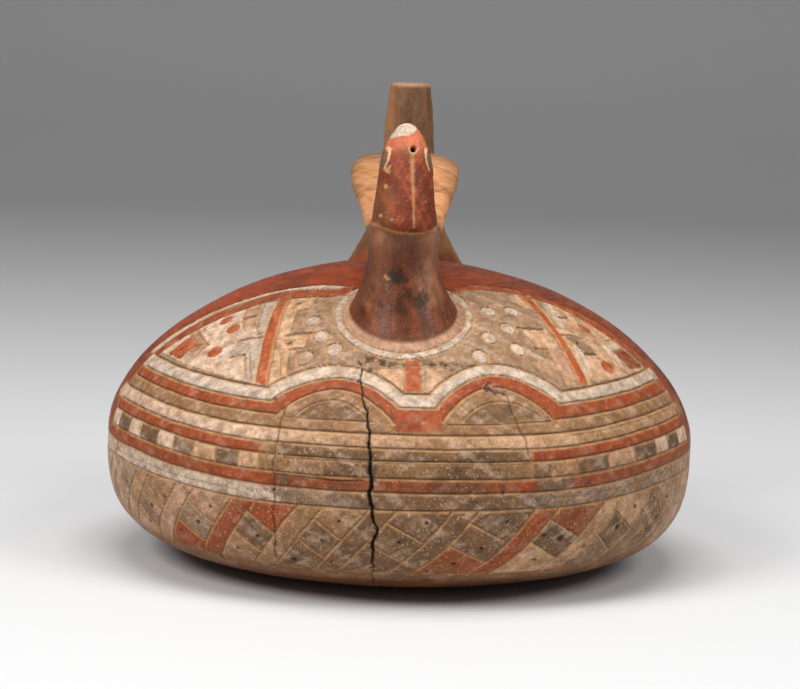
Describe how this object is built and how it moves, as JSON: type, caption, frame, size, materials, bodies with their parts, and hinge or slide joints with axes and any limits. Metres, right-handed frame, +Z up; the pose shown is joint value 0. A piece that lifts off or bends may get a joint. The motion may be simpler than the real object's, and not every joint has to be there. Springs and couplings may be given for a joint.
{
  "type": "spouted vessel",
  "caption": "Hollow fired-clay bridge-and-spout bottle with a squat round body, a bird's head on the blind front neck, a strap bridge and an open rear spout.",
  "frame": {"origin": "middle of the flat underside, on the surface it stands on", "axes": "+Z up, -Y the way the bird's head looks, +X to the right of someone who faces the bird"},
  "size_m": [0.2598, 0.2598, 0.21],
  "materials": {
    "fired_clay": "burnished red-brown clay with matt painted panel"
  },
  "bodies": {
    "root": {"spouted_vessel": "fired_clay"}
  },
  "joints": []
}
